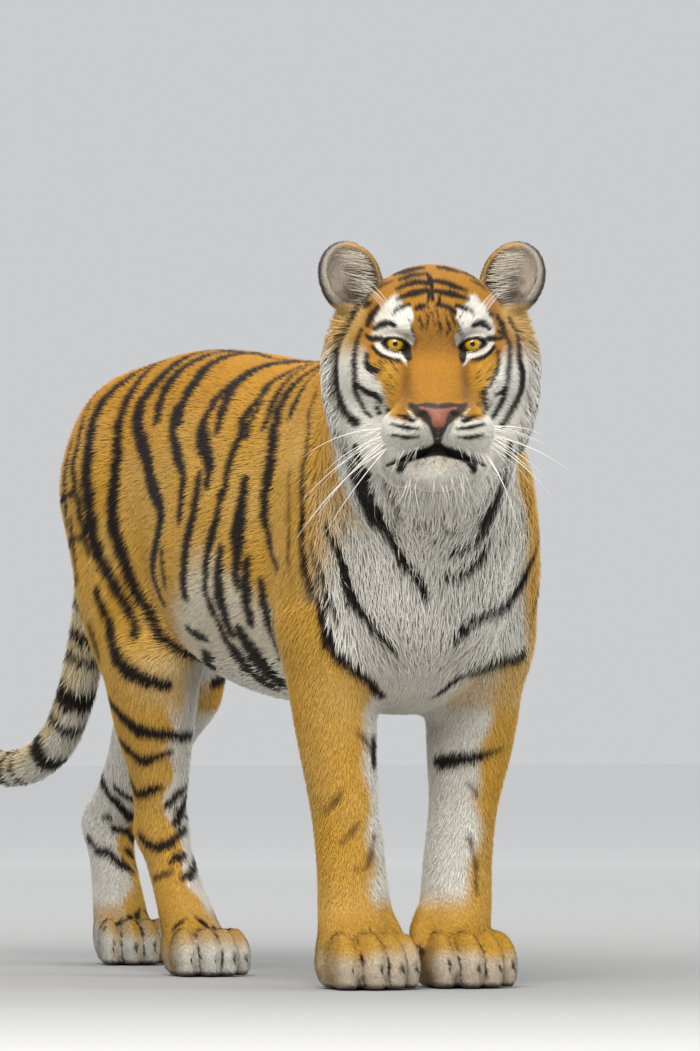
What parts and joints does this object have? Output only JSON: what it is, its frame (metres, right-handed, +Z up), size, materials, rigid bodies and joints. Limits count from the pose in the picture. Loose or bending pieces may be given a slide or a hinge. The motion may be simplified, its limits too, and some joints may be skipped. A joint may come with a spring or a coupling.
{
  "type": "life-size tiger figure",
  "caption": "Life-size Bengal tiger standing still on its four paws, head turned to the viewer and tail curved up behind, in a striped orange and white coat.",
  "frame": {"origin": "middle of the bounding box, whiskers and tail included, at the floor under the trunk", "axes": "+Z up; the tiger faces -Y, so its tail is towards +Y and its left side towards +X"},
  "size_m": [0.5696, 2.214, 1.0484],
  "materials": {
    "coat": "short orange fur with black stripes, white below, lying back along the body",
    "coat_pale": "cream and white fur with black bands",
    "nose": "moist pink leather with a dark rim",
    "eye": "wet, clear cornea over a golden iris",
    "claw": "smooth translucent horn",
    "whisker": "stiff white bristle, translucent at its tip"
  },
  "bodies": {
    "root": {"belly": "coat", "chest": "coat", "claw_dew_left": "claw", "claw_dew_right": "claw", "claw_fore_left_1": "claw", "claw_fore_left_2": "claw", "claw_fore_left_3": "claw", "claw_fore_left_4": "claw", "claw_fore_right_1": "claw", "claw_fore_right_2": "claw", "claw_fore_right_3": "claw", "claw_fore_right_4": "claw", "claw_hind_left_1": "claw", "claw_hind_left_2": "claw", "claw_hind_left_3": "claw", "claw_hind_left_4": "claw", "claw_hind_right_1": "claw", "claw_hind_right_2": "claw", "claw_hind_right_3": "claw", "claw_hind_right_4": "claw", "ear_left": "coat", "ear_right": "coat", "eye_left": "eye", "eye_right": "eye", "foreleg_left": "coat", "foreleg_right": "coat", "forepaw_left": "coat", "forepaw_right": "coat", "head": "coat", "hindpaw_left": "coat_pale", "hindpaw_right": "coat_pale", "hindquarters": "coat", "lower_jaw": "coat_pale", "neck": "coat", "nose": "nose", "shank_left": "coat", "shank_right": "coat", "tail_middle": "coat_pale", "tail_root": "coat", "tail_tip": "coat_pale", "thigh_left": "coat", "thigh_right": "coat", "whisker_left_1": "whisker", "whisker_left_2": "whisker", "whisker_left_3": "whisker", "whisker_left_4": "whisker", "whisker_right_1": "whisker", "whisker_right_2": "whisker", "whisker_right_3": "whisker", "whisker_right_4": "whisker"}
  },
  "joints": []
}
